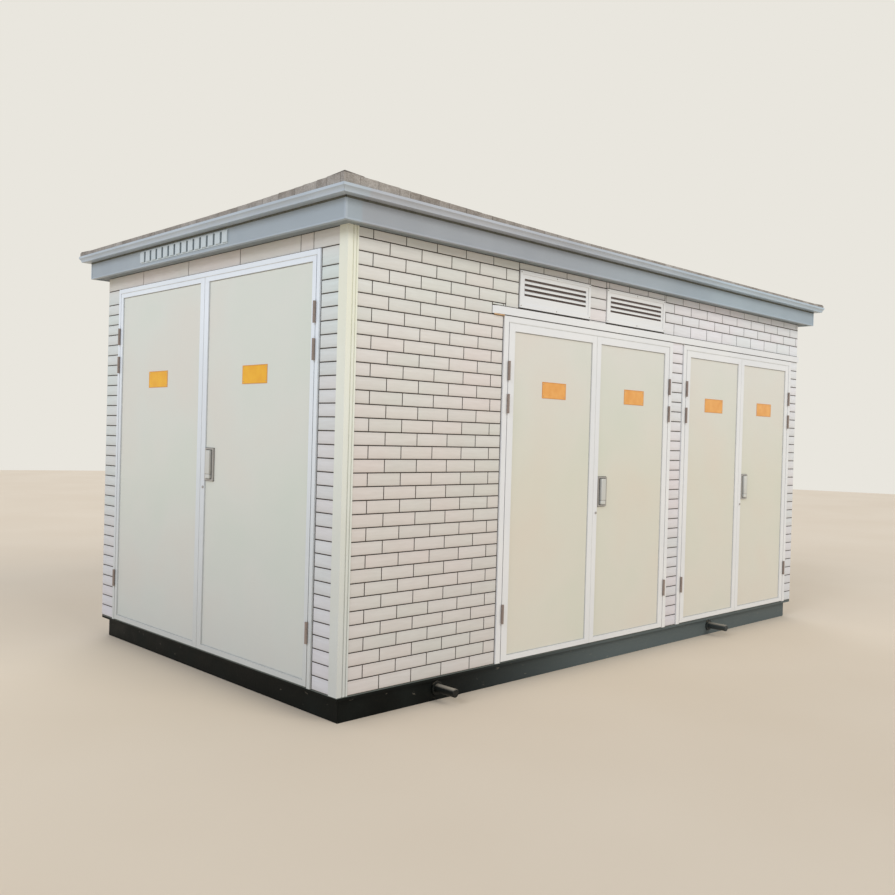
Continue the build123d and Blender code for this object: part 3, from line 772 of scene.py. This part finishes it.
backPanels = []
for leaf, (wallName, _, _) in signs["places"].items():
    panelArea = coveredArea(wallName, leaf + "_panel")
    makeBead(leaf + "_panelBead", leaf, wallName, leaf + "_panel", [panelArea])
    if wallName == "front":
        backPanels.append(seenFromBehind(panelArea))
makeBead("backPanelBeads", "housing", "back", "back_door_panels", backPanels)
print("panel beads made")


# Pale gaskets in the gaps above each pair of leaves and between them, a little behind their faces

gaskets = {"clearance": 0.0008, "sink": 0.0003, "depth": (0.0012, 0.0050), "edge": 0.0004}


def gasketStrip(wallName, area, leafDepth):
    depth = [leafDepth + reach for reach in gaskets["depth"]]
    strip = wallBlock(wallName, (area[0], area[2]), depth, (area[1], area[3]))
    bevelEdges(strip, gaskets["edge"])
    return strip


backStrips = []
for door, wallName in doorWalls.items():
    leftLeaf, rightLeaf = (coveredArea(wallName, door + side + "_leaf_frame") for side in ("_left", "_right"))
    leafDepth = faceDepth(wallName, door + "_left_leaf_frame")
    clearance, grip = gaskets["clearance"], gaskets["sink"]
    gap, top = rightLeaf[0] - leftLeaf[2], leftLeaf[3]
    headArea = (leftLeaf[0], top + clearance, rightLeaf[2], top + gap + grip)
    meetingArea = (leftLeaf[2] + clearance, leftLeaf[1], rightLeaf[0] + grip, top)
    for body, name, area in (("housing", "Head", headArea), (door + "_right_leaf", "Meeting", meetingArea)):
        strip = gasketStrip(wallName, area, leafDepth)
        finishPiece([strip], door + name + "Gasket", "paleGasket", body=body)
        if wallName == "front":
            backStrips.append(gasketStrip("back", seenFromBehind(area), leafDepth))
finishPiece(backStrips, "backGaskets", "paleGasket")
print("gap gaskets made")


# Handle details: a broad pale grip over the lever, its pivot block below, a dark gasket round the tray
# and dark lining in it, which stands in for the shade inside the tray

handles = {
    "width": 0.082,
    "height": 0.172,
    "floor": 0.0020,
    "lining": 0.0006,
    "linedWidth": 0.0325,
    "linedHeight": 0.0775,
    "liningEdge": 0.0002,
    "gasket": 0.002,
    "gasketRise": 0.0012,
    "gripWidth": 0.0200,
    "gripTop": 0.0745,
    "gripFoot": -0.0500,
    "gripRise": 0.0175,
    "gripBorder": 0.004,
    "gripStep": -0.0008,
    "gripEdge": 0.0016,
    "pivotTop": -0.0525,
    "pivotFoot": -0.0745,
    "pivotRise": 0.0165,
}


def detailHandles(wallName, body, node, panel, middles):
    panelDepth = faceDepth(wallName, panel)
    floorDepth = panelDepth - handles["floor"]
    height = coveredArea(wallName, node)[3] - handles["height"] / 2
    margin, halfGrip = handles["gasket"], handles["gripWidth"]
    layers = (
        (handles["width"] / 2 + margin, handles["height"] / 2 + margin, panelDepth, "gasketRise"),
        # the lining is painted shade inside the tray
        (handles["linedWidth"], handles["linedHeight"], floorDepth, "lining"),
    )
    gasketsAndShadowLinings, grips = [], []
    for across in middles:
        for wide, tall, depth, rise in layers:
            reach, ends = (depth - handles[rise], depth + sink), (height - tall, height + tall)
            gasketsAndShadowLinings.append(wallBlock(wallName, (across - wide, across + wide), reach, ends))
        for part in ("grip", "pivot"):
            low, high, rise = (handles[part + size] for size in ("Foot", "Top", "Rise"))
            sides, ends = (across - halfGrip, across + halfGrip), (height + low, height + high)
            grip = wallBlock(wallName, sides, (floorDepth - rise, floorDepth), ends)
            stepFace(grip, wallName, handles["gripBorder"], handles["gripStep"])
            bevelEdges(grip, handles["gripEdge"], 2)
            smoothByAngle(grip, 32)
            grips.append(grip)
    edge = handles["liningEdge"]
    finishPiece(gasketsAndShadowLinings, node + "_shadowLining", "darkRubberAndShade", edge, body)
    finishPiece(grips, node + "_grip", "grip", body=body)


# The node's box takes in the key cylinder, which stands beyond the tray on the meeting side
halfTray = handles["width"] / 2
for door, wallName in doorWalls.items():
    handle, leaf = door + "_door_handle", door + "_right_leaf"
    left, _, right, _ = coveredArea(wallName, handle)
    keyReach = right - left - handles["width"]
    detailHandles(wallName, leaf, handle, leaf + "_panel", [right - halfTray])
left, _, right, _ = coveredArea("back", "back_door_handles")
backMiddles = [left + halfTray, right - keyReach - halfTray]
detailHandles("back", "housing", "back_door_handles", "back_door_panels", backMiddles)
print("handle details made")


# Vents: pan-head screws in the rims, and an insect screen in the wall behind the blades

vents = {
    "screwInset": 0.0095,
    "screwDepth": -0.009,
    "screwRadius": 0.0038,
    "screwRise": 0.0020,
    "sideMargin": 0.038,
    "topMargin": 0.041,
    "bottomMargin": 0.064,
    "screenDepth": (0.0020, 0.0036),
    "screenEdge": 0.0003,
}
for wallName, areas in (("front", ventAreas), ("back", [seenFromBehind(area) for area in ventAreas])):
    inset, side = vents["screwInset"], vents["sideMargin"]
    low, high = vents["bottomMargin"], vents["topMargin"]
    heads = [
        addDome(wallName, x, vents["screwDepth"], z, vents["screwRadius"], vents["screwRise"])
        for area in areas
        for x in (area[0] + inset, (area[0] + area[2]) / 2, area[2] - inset)
        for z in (area[1] + inset, area[3] - inset)
    ]
    finishPiece(heads, wallName + "VentScrews", "zinc")
    screens = []
    for left, bottom, right, top in areas:
        sides, ends = (left + side, right - side), (bottom + low, top - high)
        screens.append(wallBlock(wallName, sides, vents["screenDepth"], ends))
    edge = vents["screenEdge"]
    finishPiece(screens, wallName + "VentScreens", "screen", edge)
print("vent screws and screens made")


# Grilles on the fascia: a dark strip beside each pale strip, as painted shadow in the slot

grilles = {
    "strips": 14,
    "stripWidth": 0.046,
    "margin": 0.006,
    "stripDepth": 0.005,
    "slot": 0.010,
    "proud": 0.0006,
    "clearance": 0.0004,
    "edge": 0.0002,
}
grilleLow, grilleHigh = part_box("fascia_grilles")
pitch = (grilleHigh.y - grilleLow.y - grilles["stripWidth"]) / (grilles["strips"] - 1)
margin, clearance = grilles["margin"], grilles["clearance"]
slotShadows = []
for side in (-1, 1):
    face = side * (grilleHigh.x - grilles["stripDepth"])
    xs = sorted((face - side * clearance, face + side * grilles["proud"]))
    for index in range(1, grilles["strips"]):
        stripStart = grilleLow.y + index * pitch
        low = (xs[0], stripStart - grilles["slot"], grilleLow.z + margin)
        slotShadows.append(addBlock(low, (xs[1], stripStart - clearance, grilleHigh.z - margin)))
print("grille slots made:", len(slotShadows))
finishPiece(slotShadows, "grilleSlotShadows", "slotShadow", grilles["edge"])


# Lintels: a dark rubber strip where each rests on the door frames, standing in for the shadow under the
# lintel, and tan foam packed under its free end

lintels = {
    "sealHeight": 0.0045,
    "sealProud": 0.0008,
    "sealReach": 0.0005,
    "sealEdge": 0.0003,
    "foamHeight": 0.0065,
    "foamStart": 0.010,
    "foamEnd": 0.0005,
    "foamDepth": -0.0110,
    "foamEdge": 0.0015,
}
foamRange = (lintelArea[0] + lintels["foamStart"], 0, transformerArea[0] - lintels["foamEnd"], 0)
low = lintelArea[1]
for wallName, frameNode in (("front", "transformer_door_frame"), ("back", "back_door_frames")):
    depth = faceDepth(wallName, frameNode)
    reach = (depth - lintels["sealProud"], depth + lintels["sealReach"])
    ranges = (transformerArea, switchgearArea, foamRange)
    if wallName == "back":
        ranges = [seenFromBehind(area) for area in ranges]
    sealed, foamed = ((low - lintels[part + "Height"], low + sink) for part in ("seal", "foam"))
    # dark strips as painted shadow under the lintel
    shadowSeals = [wallBlock(wallName, (area[0], area[2]), reach, sealed) for area in ranges[:2]]
    edge = lintels["sealEdge"]
    finishPiece(shadowSeals, wallName + "LintelShadowSeals", "darkRubberAndShade", edge)
    foam = wallBlock(wallName, (ranges[2][0], ranges[2][2]), (lintels["foamDepth"], -sink), foamed)
    bevelEdges(foam, lintels["foamEdge"], 2)
    finishPiece([foam], wallName + "LintelFoam", "foam")
print("lintel seals made")


# Fascia trims: a pale hem along the bottom edge, a folded cover down each corner, and a dark butyl strip
# that seals the fascia to the drip edge above it and stands in for the shadow under the drip edge

trim = {
    "hem": 0.008,
    "hemProud": 0.0012,
    "hemEdge": 0.0005,
    "cover": 0.010,
    "coverProud": 0.0016,
    "coverEdge": 0.0004,
    "butyl": 0.010,
    "butylProud": 0.0016,
    "butylEdge": 0.0003,
    "lift": 0.0005,
    "drop": 0.0003,
}
fasciaLow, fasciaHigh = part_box("fascia_boards")
trimFoot, trimTop = fasciaLow.z + trim["lift"], fasciaHigh.z - trim["drop"]
butylFoot = trimTop - trim["butyl"]
xs, ys = (fasciaLow.x, fasciaHigh.x), (fasciaLow.y, fasciaHigh.y)
trims, butylShadows = [], []
for sideXs, sideYs in ((xs, ys[:1]), (xs, ys[1:]), (xs[:1], ys), (xs[1:], ys)):
    strips = []
    for proud, foot, top in (("hem", trimFoot, trimFoot + trim["hem"]), ("butyl", butylFoot, trimTop)):
        reach = trim[proud + "Proud"]
        high = (sideXs[-1] + reach, sideYs[-1] + reach, top)
        strips.append(addBlock((sideXs[0] - reach, sideYs[0] - reach, foot), high))
    bevelEdges(strips[0], trim["hemEdge"])
    trims.append(strips[0])
    butylShadows.append(strips[1])
for x in xs:
    for y in ys:
        out, width = trim["coverProud"], trim["cover"]
        coverXs, coverYs = (
            (edge - out, edge + width) if edge < 0 else (edge - width, edge + out) for edge in (x, y)
        )
        cover = addBlock((coverXs[0], coverYs[0], trimFoot), (coverXs[1], coverYs[1], butylFoot))
        bevelEdges(cover, trim["coverEdge"])
        trims.append(cover)
finishPiece(trims, "fasciaTrims", "trim")
finishPiece(butylShadows, "fasciaButylShadow", "butyl", trim["butylEdge"])
print("fascia trims made")


# Roof: a deck under shingles in courses on the four slopes, folded caps along hips and ridge, and
# chipped blocks along the eaves. The near corner is built up, and the build-up dies away along its eaves

roof = {
    "edge": 0.012,
    "ridge": 0.197,
    "cornerLift": 0.022,
    "endLift": 0.007,
    "frontFade": 1.8,
    "endFade": 1.3,
    "deckRoom": 0.05,
    "deckDrop": 0.006,
    "deckStep": 0.22,
    "deckSteps": 7,
    "edgeShare": 0.02,
    "exposure": 0.140,
    "overlap": 0.022,
    "tab": 0.230,
    "tabLeast": 0.92,
    "tabSpread": 0.16,
    "tabGap": 0.004,
    "stagger": (0.15, 0.5),
    "headStart": 0.2,
    "thinnest": 0.85,
    "butt": 0.0044,
    "buttRise": 0.0006,
    "buttFoot": 0.1,
    "head": 0.0016,
    "headFoot": -0.001,
    "capHalf": 0.075,
    "capExposure": 0.160,
    "capThickness": 0.0034,
    "capLift": 0.0052,
    "firstLift": 0.3,
    "capBase": 0.0052,
    "capPinch": 0.55,
    "capOverrun": 0.012,
    "blockWidth": (0.060, 0.130),
    "blockGap": 0.0020,
    "blockProud": 0.0045,
    "blockSink": 0.0005,
    "blockLift": 0.0004,
    "blockTop": 0.8,
    "blockLeast": 0.75,
    "hipClearance": 0.002,
}
roofLow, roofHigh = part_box("roof_cover")
eaveZ = roofLow.z + roof["edge"]
corners = [
    Vector((roofLow.x, roofLow.y, eaveZ)), Vector((roofHigh.x, roofLow.y, eaveZ)),
    Vector((roofHigh.x, roofHigh.y, eaveZ)), Vector((roofLow.x, roofHigh.y, eaveZ)),
]
ridgeReach = (roofHigh.x - roofLow.x - roofHigh.y + roofLow.y) / 2
ridgeTop = roofLow.z + roof["ridge"]
slopes = []
for index, foot in enumerate(corners):
    nextFoot = corners[(index + 1) % 4]
    along = (nextFoot - foot).normalized()
    ridgeAim = Vector(((0, ridgeReach, 0, -ridgeReach)[index], 0, ridgeTop))
    normal = along.cross(ridgeAim - foot).normalized()
    length = (nextFoot - foot).length
    up = normal.cross(along)
    slopes.append({"foot": foot, "along": along, "up": up, "normal": normal, "length": length})


# The build-up at the near corner, for a point anywhere on the roof
def raised(point):
    endShare = min(max(0.0, 1 - (point.x - roofLow.x) / roof["frontFade"]), 1) ** 2
    frontShare = min(max(0.0, 1 - (point.y - roofLow.y) / roof["endFade"]), 1) ** 2
    return point + upward * (endShare * (roof["endLift"] + roof["cornerLift"] * frontShare))


def raisePoints(piece, above=0.0):
    for vertex in piece.data.vertices:
        if vertex.co.z > above:
            vertex.co = raised(vertex.co)


# Point where three of the roof's slopes meet
def meetingPoint(indices):
    rows = Matrix([slopes[i]["normal"] for i in indices])
    return rows.inverted() @ Vector([slopes[i]["normal"].dot(slopes[i]["foot"]) for i in indices])


ridgeLeft, ridgeRight = meetingPoint((0, 2, 3)), meetingPoint((0, 2, 1))
ridgeEnds = [
    (ridgeLeft, ridgeRight), (ridgeRight, ridgeRight), (ridgeRight, ridgeLeft), (ridgeLeft, ridgeLeft)
]

# Deck: a block planed to the four slopes, a little below the shingles
roofDeck = addBlock(roofLow, (roofHigh.x, roofHigh.y, ridgeTop + roof["deckRoom"]))
for slope in slopes:
    trimPiece(roofDeck, slope["foot"] - upward * roof["deckDrop"], slope["normal"])
editWhole(roofDeck)
for step in range(1, roof["deckSteps"] + 1):
    for low, normal in ((roofLow.x, (1, 0, 0)), (roofLow.y, (0, 1, 0))):
        place = low + step * roof["deckStep"]
        bpy.ops.mesh.select_all(action="SELECT")
        bpy.ops.mesh.bisect(plane_co=[place * part for part in normal], plane_no=normal)
leaveEdit()
raisePoints(roofDeck, roofLow.z + tolerance)
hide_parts("roof_cover")
finishPiece([roofDeck], "roofDeck", "slate")
print("roof deck made")


def layShingles(slope, ends, pieceName, seed):
    chance = random.Random(seed)
    master = addBlock((0, 0, 0), (1, 1, 1))
    bevelEdges(master, roof["edgeShare"])
    tab, gap = roof["tab"], roof["tabGap"]
    depth = roof["exposure"] + roof["overlap"]
    foot, along = slope["foot"], slope["along"]
    rise = max((end - foot).dot(slope["up"]) for end in ends)
    leftRun = (ends[0] - foot).dot(along)
    rightRun = slope["length"] - (ends[1] - foot).dot(along)
    laid = []
    course = 0
    while course * roof["exposure"] < rise:
        low = course * roof["exposure"]
        left = leftRun * low / rise - tab * roof["stagger"][course % 2] - tab * roof["headStart"]
        stop = slope["length"] - rightRun * low / rise
        while left < stop:
            width = tab * (roof["tabLeast"] + roof["tabSpread"] * chance.random())
            thick = chance.uniform(roof["thinnest"], 1.0)

            def shape(point):
                butt = roof["butt"] * thick
                lowerEdge = point.y < 0.5
                top = butt + roof["buttRise"] if lowerEdge else roof["head"]
                bottom = butt * roof["buttFoot"] if lowerEdge else roof["headFoot"]
                up = slope["up"] * min(low + point.y * depth, rise)
                height = slope["normal"] * (bottom + (top - bottom) * point.z)
                return foot + along * (left + point.x * (width - gap)) + up + height
            laid.append(placeCopy(master, shape, chance.random()))
            left += width
        course += 1
    removePiece(master)
    shingles = joinPieces(laid, pieceName)
    # Trimmed at the two hips by upright planes, a little short of the hip line
    middle = foot + along * slope["length"] / 2
    for hipFoot, end in ((foot, ends[0]), (foot + along * slope["length"], ends[1])):
        outward = (end - hipFoot).cross(upward).normalized()
        if outward.dot(middle - hipFoot) > 0:
            outward = -outward
        trimPiece(shingles, hipFoot - outward * roof["hipClearance"], outward)
    raisePoints(shingles)
    finishPiece([shingles], pieceName, "slate")
    print(pieceName, "laid:", len(laid), "shingles")


for index, (slope, side) in enumerate(zip(slopes, ("front", "right", "back", "left"))):
    layShingles(slope, ridgeEnds[index], side + "Shingles", 30 + index)


# Caps folded over a line where two slopes meet, laid upwards from its lower end
def layCaps(low, high, first, second, chance, master):
    run = (high - low).normalized()
    length = (high - low).length
    sides = []
    for slope in (slopes[first], slopes[second]):
        down = slope["normal"].cross(run)
        if down.z > 0:
            down = -down
        sides.append((down, slope["normal"]))
    ridgeNormal = (sides[0][1] + sides[1][1]).normalized()
    laid = []
    start = 0.0
    while start < length:
        reach = roof["capExposure"] + roof["overlap"]
        end = min(start + reach, length + roof["capOverrun"])
        share = 1.0 if start else roof["firstLift"]
        lift = roof["capLift"] * chance.uniform(roof["thinnest"], 1.0) * share

        def shape(point):
            down, normal = sides[0] if point.x < 0 else sides[1]
            if abs(point.x) < 0.01:
                normal = ridgeNormal
            rise = roof["capBase"] + lift * (1 - point.y) + roof["capThickness"] * point.z
            if abs(point.x) > 0.4:
                rise -= roof["capBase"] * roof["capPinch"]
            spread = down * abs(point.x) * 2 * roof["capHalf"]
            return low + run * (start + (end - start) * point.y) + spread + normal * rise
        laid.append(placeCopy(master, shape, chance.random()))
        start += roof["capExposure"]
    return laid


# One wide, with the fold at 0 across and the outer edges at -0.5 and 0.5
capMaster = addBlock((-0.5, 0, 0), (0.5, 1, 1))
editWhole(capMaster)
bpy.ops.mesh.bisect(plane_co=(0, 0, 0), plane_no=(1, 0, 0))
leaveEdit()
chance = random.Random(51)
caps = []
hips = ((ridgeLeft, 3, 0), (ridgeRight, 0, 1), (ridgeRight, 1, 2), (ridgeLeft, 2, 3))
for corner, (end, first, second) in zip(corners, hips):
    caps += layCaps(corner, end, first, second, chance, capMaster)
caps += layCaps(ridgeRight, ridgeLeft, 0, 2, chance, capMaster)
removePiece(capMaster)
print("hip caps laid:", len(caps))
hipCaps = joinPieces(caps, "hipCaps")
for point, outward in (
    (roofLow, (-1, 0, 0)), (roofLow, (0, -1, 0)), (roofHigh, (1, 0, 0)), (roofHigh, (0, 1, 0))
):
    trimPiece(hipCaps, point, outward)
raisePoints(hipCaps)
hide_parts("roof_caps")
finishPiece([hipCaps], "hipCaps", "cap")


# Blocks along one eave; their tops follow the build-up
def layEaveBlocks(low, high, outward, chance, master):
    run = Vector((high.x - low.x, high.y - low.y, 0))
    length = run.length
    run.normalize()
    base = roofLow.z + roof["blockLift"]
    laid = []
    start = -roof["blockProud"]
    while start < length + roof["blockProud"]:
        width = chance.uniform(*roof["blockWidth"])
        end = min(start + width, length + roof["blockProud"])
        top = raised(low + run * (start + end) / 2).z + roof["butt"] * roof["blockTop"]
        proud = roof["blockProud"] * chance.uniform(roof["blockLeast"], 1.0)

        def shape(point):
            across = start + point.x * (end - start - roof["blockGap"])
            height = upward * (base + point.z * (top - base))
            reach = outward * (proud * point.y - roof["blockSink"])
            return Vector((low.x, low.y, 0)) + run * across + reach + height
        laid.append(placeCopy(master, shape, chance.random()))
        start = end
    return laid


blockMaster = addBlock((0, 0, 0), (1, 1, 1))
blocks = []
outwards = (Vector((0, -1, 0)), Vector((1, 0, 0)), Vector((0, 1, 0)), Vector((-1, 0, 0)))
for index, outward in enumerate(outwards):
    blocks += layEaveBlocks(corners[index], corners[(index + 1) % 4], outward, chance, blockMaster)
removePiece(blockMaster)
print("eave blocks laid:", len(blocks))
eaveBlocks = joinPieces(blocks, "eaveBlocks")
editWhole(eaveBlocks)
bpy.ops.mesh.normals_make_consistent(inside=False)
leaveEdit()
finishPiece([eaveBlocks], "eaveBlocks", "eave")


# Studio: a plain warm floor that runs out to a pale background

deselectAll()
bpy.ops.mesh.primitive_circle_add(vertices=128, radius=24, fill_type="NGON", location=(0, 0, 0))
studioGround = bpy.context.object
studioGround.name = "studioGround"
# Trowelled pale floor: matt, with broad faint clouds
studioGround.data.materials.append(mottledSurface(
    "trowelledFloor", {"Roughness": 0.9, "Specular IOR Level": 0.2}, [(0.3, "#D3C3AE"), (0.7, "#D7C8B4")],
    size=1.6, detail=2.0,
))

daylight = {"light": "#EDF3FA", "strength": 0.72, "backdrop": "#E9E6DE"}
world = bpy.data.worlds.new("studioWorld")
bpy.context.scene.world = world
world.use_nodes = True
worldTree = world.node_tree
worldTree.nodes.clear()
rays = addNode(worldTree, "LightPath", output=None).outputs
lightValues = {"Color": hexColour(daylight["light"]), "Strength": daylight["strength"]}
lightSky = addNode(worldTree, "Background", lightValues)
seenSky = addNode(worldTree, "Background", {"Color": hexColour(daylight["backdrop"])})
seenRays = {0: rays["Is Camera Ray"], 1: rays["Is Glossy Ray"]}
seen = addNode(worldTree, "Math", links=seenRays, operation="MAXIMUM")
sky = addNode(worldTree, "MixShader", links={0: seen, 1: lightSky, 2: seenSky})
addNode(worldTree, "OutputWorld", links={"Surface": sky}, output=None)

lamps = {
    "frontKey": {"from": (0.15, -1.0, 0.62), "spread": 30, "power": 1.17, "colour": "#FFFDF8"},
    "endKey": {"from": (-1.0, -0.15, 0.62), "spread": 30, "power": 1.20, "colour": "#E9F1FF"},
    "backFill": {"from": (0.7, 1.0, 0.55), "spread": 40, "power": 0.55, "colour": "#FFFFFF"},
}
for lampName, lamp in lamps.items():
    deselectAll()
    bpy.ops.object.light_add(type="SUN", location=Vector(lamp["from"]) * 10)
    light = bpy.context.object
    light.name = lampName
    light.rotation_euler = (-Vector(lamp["from"])).to_track_quat("-Z", "Y").to_euler()
    light.data.angle = math.radians(lamp["spread"])
    light.data.energy = lamp["power"]
    light.data.color = hexColour(lamp["colour"])[:3]

# Camera, at the photograph's angle: heading is turned from +Y towards +X
view = {
    "place": (-4.709, -4.479, 1.297),
    "heading": 44.18,
    "pitch": -0.65,
    "roll": 1.57,
    "lens": 37.62,
    "sensor": 36.0,
}
heading, pitch, roll = (math.radians(view[k]) for k in ("heading", "pitch", "roll"))
forward = Vector((math.sin(heading) * math.cos(pitch), math.cos(heading) * math.cos(pitch), math.sin(pitch)))
levelRight = forward.cross(upward).normalized()
levelUp = levelRight.cross(forward)
cameraRight = levelRight * math.cos(roll) + levelUp * math.sin(roll)
cameraUp = cameraRight.cross(forward)
deselectAll()
bpy.ops.object.camera_add(location=view["place"])
camera = bpy.context.object
turned = Matrix((cameraRight, cameraUp, -forward)).transposed().to_4x4()
camera.matrix_world = Matrix.Translation(view["place"]) @ turned
camera.data.lens = view["lens"]
camera.data.sensor_width = view["sensor"]
bpy.context.scene.camera = camera
bpy.context.scene.view_settings.view_transform = "Standard"
print("studio set")
